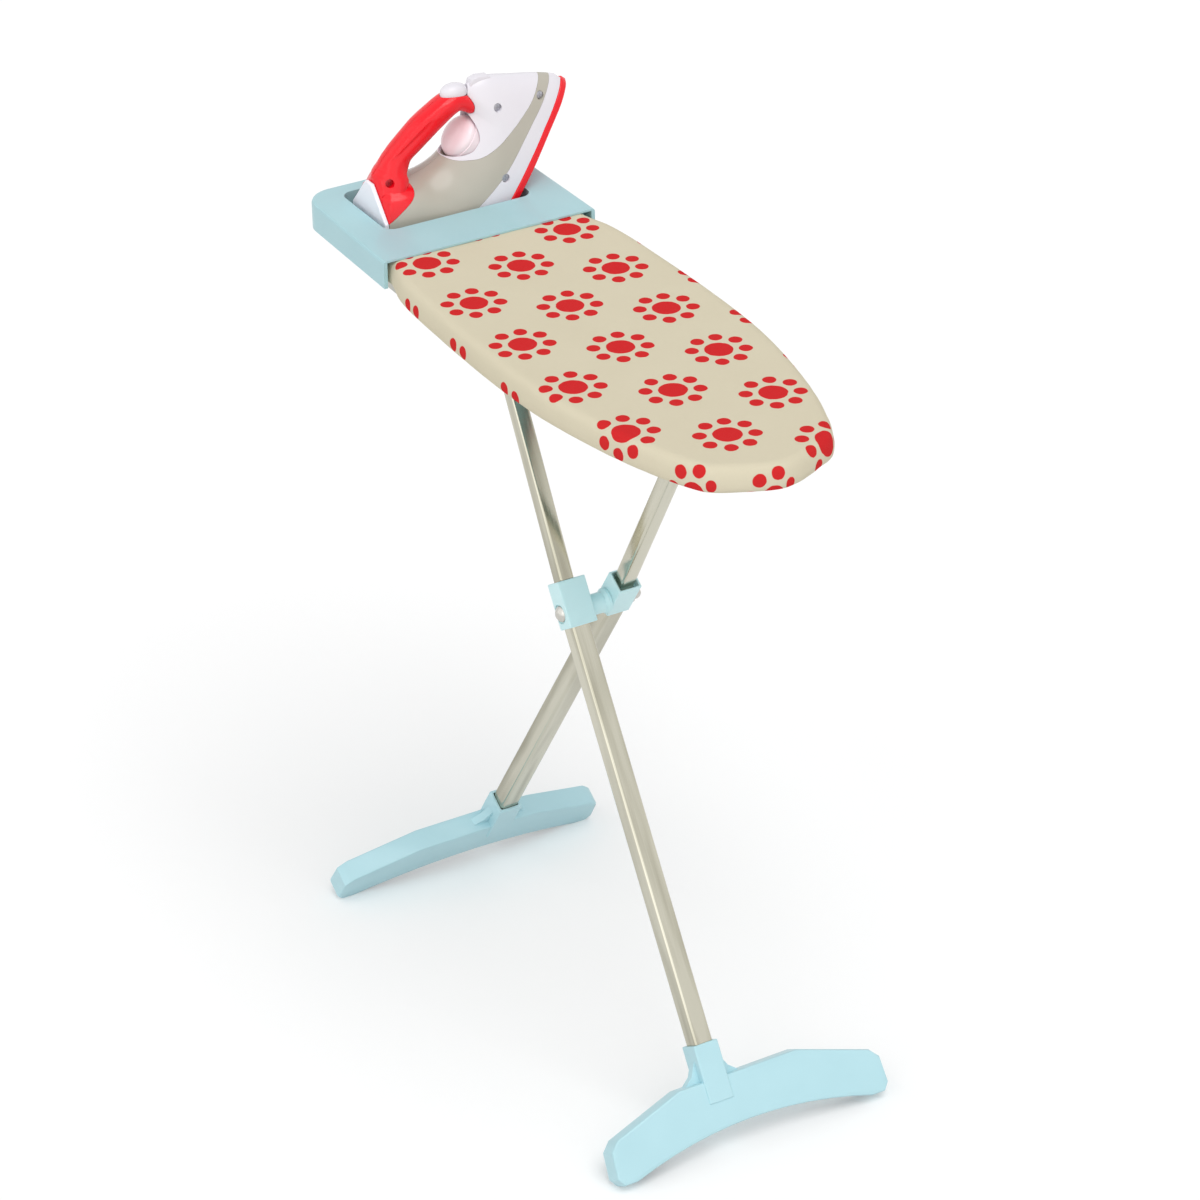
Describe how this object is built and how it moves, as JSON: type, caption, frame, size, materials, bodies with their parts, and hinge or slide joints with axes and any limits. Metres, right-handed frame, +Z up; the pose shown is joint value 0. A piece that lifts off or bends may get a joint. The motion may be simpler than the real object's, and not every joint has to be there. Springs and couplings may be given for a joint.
{
  "type": "toy ironing board",
  "caption": "Toy ironing board with a padded cloth cover, a moulded iron rest, crossed folding legs on arched feet and a toy iron standing in the rest.",
  "frame": {"origin": "on the floor under the middle of the bounding box", "axes": "+Z up, +X from the iron rest towards the rounded nose, +Y across, away from the side that the picture shows nearest"},
  "size_m": [0.602, 0.258, 0.7384],
  "materials": {
    "pale_blue_plastic": "satin",
    "panel_plastic": "matte",
    "cotton_cover": "printed cotton",
    "foam": "soft foam",
    "chrome_tube": "bright",
    "sheet_steel": "zinc plated",
    "plated_steel": "zinc plated",
    "red_plastic": "gloss",
    "white_plastic": "gloss",
    "grey_plastic": "satin",
    "dial_plastic": "gloss",
    "dark_screw": "dark zinc",
    "plug_rubber": "matte"
  },
  "bodies": {
    "deck": {"cover": "cotton_cover", "foam_pad": "foam", "deck_panel": "panel_plastic", "iron_rest_tray": "pale_blue_plastic", "slide_rail": "sheet_steel", "hinge_bracket": "sheet_steel", "hinge_pin": "plated_steel", "deck_screw_1": "plated_steel", "deck_screw_2": "plated_steel", "deck_screw_3": "plated_steel", "deck_screw_4": "plated_steel", "deck_screw_5": "plated_steel", "deck_screw_6": "plated_steel", "deck_screw_7": "plated_steel", "deck_screw_8": "plated_steel", "deck_screw_9": "plated_steel", "deck_screw_10": "plated_steel"},
    "rear_leg": {"rear_leg_upper_tube": "chrome_tube", "rear_leg_tube_plug": "plug_rubber", "rear_leg_lower_tube": "chrome_tube", "rear_leg_joint": "pale_blue_plastic", "rear_leg_foot": "pale_blue_plastic", "rear_leg_screw_1": "plated_steel", "rear_leg_screw_2": "plated_steel"},
    "front_leg": {"front_leg_upper_tube": "chrome_tube", "front_leg_tube_plug": "plug_rubber", "front_leg_lower_tube": "chrome_tube", "front_leg_joint": "pale_blue_plastic", "front_leg_foot": "pale_blue_plastic", "front_leg_screw_1": "plated_steel", "front_leg_screw_2": "plated_steel", "slide_pin": "plated_steel", "pivot_bolt": "plated_steel", "pivot_washer": "plated_steel", "pivot_nut": "plated_steel"},
    "iron": {"iron_soleplate": "red_plastic", "iron_base": "white_plastic", "iron_nose_right": "white_plastic", "iron_nose_left": "white_plastic", "iron_shell_right": "grey_plastic", "iron_shell_left": "grey_plastic", "iron_handle_right": "red_plastic", "iron_handle_left": "red_plastic", "iron_heel": "white_plastic", "iron_nozzle": "white_plastic", "iron_side_screw_1": "dark_screw", "iron_side_screw_2": "dark_screw", "iron_side_screw_3": "dark_screw"},
    "dial": {"iron_dial": "dial_plastic"},
    "steam_button": {"iron_steam_button": "white_plastic"}
  },
  "joints": [
    {"name": "rear_leg_fold", "type": "hinge", "parent": "deck", "child": "rear_leg", "pos_m": [0.12189, 0.0218, 0.56555], "axis": [0, 1, 0], "range_deg": [0, 52.5]},
    {"name": "leg_cross", "type": "hinge", "parent": "rear_leg", "child": "front_leg", "pos_m": [0.0204, 0, 0.3817], "axis": [0, 1, 0], "range_deg": [-105, 0]},
    {"name": "iron_lift", "type": "slide", "parent": "deck", "child": "iron", "axis": [0, 0, 1], "range_m": [0, 0.13]},
    {"name": "dial_turn", "type": "hinge", "parent": "iron", "child": "dial", "pos_m": [-0.243, 0.0342, 0.6823], "axis": [0, -0.7705, 0.6374], "range_deg": [-135, 135]},
    {"name": "steam_press", "type": "slide", "parent": "iron", "child": "steam_button", "axis": [0, 0.0174, -0.9998], "range_m": [0, 0.002], "stiffness_N_per_m": 400, "springref_m": -0.001}
  ],
  "couplings": [
    {"joint": "leg_cross", "follows": "rear_leg_fold", "ratio": -2}
  ]
}
